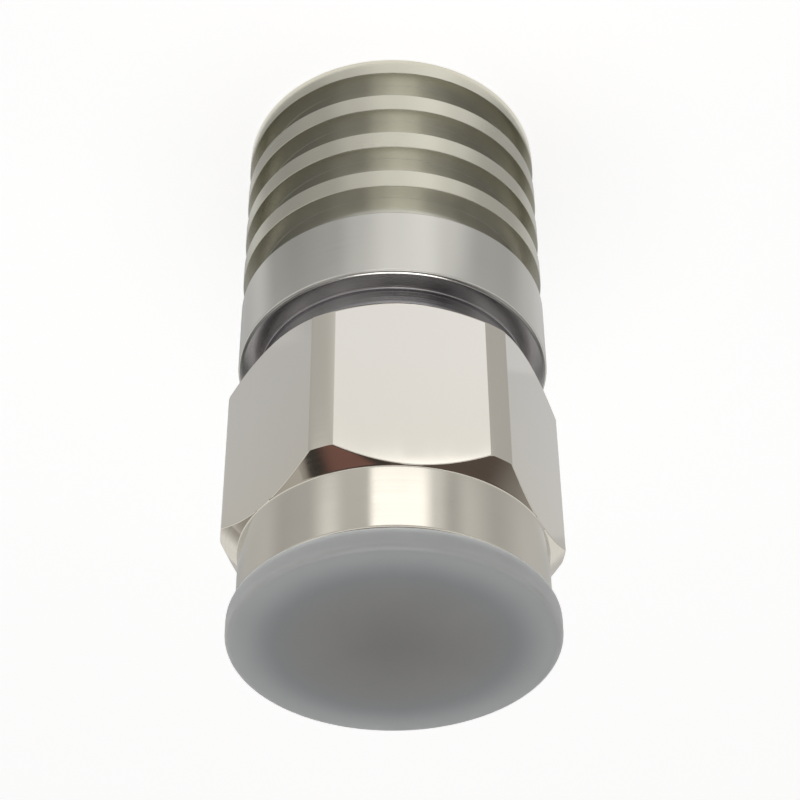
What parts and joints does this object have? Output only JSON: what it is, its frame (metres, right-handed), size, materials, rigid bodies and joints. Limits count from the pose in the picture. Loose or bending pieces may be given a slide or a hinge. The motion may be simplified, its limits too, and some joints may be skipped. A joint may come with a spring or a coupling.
{
  "type": "coaxial terminator",
  "caption": "Finned coaxial dummy load on a threaded coaxial plug, with a free-turning hexagonal coupling nut and a milky push-in dust cap over its mating end.",
  "frame": {"origin": "centre of the heat sink's flat end face, which the part stands on", "axes": "+Z along the axis from the heat sink to the mating end; -Y is the side that faces the viewer"},
  "size_m": [0.0356, 0.034, 0.0686],
  "materials": {
    "sink_plate": "turned, nickel plated, satin",
    "body_plate": "turned, bright nickel-like plate",
    "nut_plate": "bright nickel-like plate",
    "contact_plate": "silver plated",
    "ring_steel": "spring steel",
    "seal_rubber": "silicone rubber",
    "bead_plastic": "turned white fluoroplastic",
    "resistor_ceramic": "film on ceramic",
    "cap_plastic": "milky translucent polyethylene"
  },
  "bodies": {
    "terminator": {"heat_sink": "sink_plate", "connector_body": "body_plate", "outer_contact_tube": "contact_plate", "retaining_ring": "ring_steel", "interface_gasket": "seal_rubber", "body_seal": "seal_rubber", "insulator_bead": "bead_plastic", "contact_pin": "contact_plate", "pin_socket": "contact_plate", "resistor_rod": "resistor_ceramic", "resistor_front_cap": "contact_plate", "resistor_rear_cap": "contact_plate", "taper_sleeve": "contact_plate"},
    "nut": {"coupling_nut": "nut_plate"},
    "cap": {"dust_cap": "cap_plastic"}
  },
  "joints": [
    {"name": "nut_spin", "type": "hinge", "parent": "terminator", "child": "nut", "pos_m": [0, 0, 0.043], "axis": [0, 0, 1], "continuous": true},
    {"name": "cap_pull", "type": "slide", "parent": "nut", "child": "cap", "axis": [0, 0, 1], "range_m": [0, 0.04]}
  ]
}
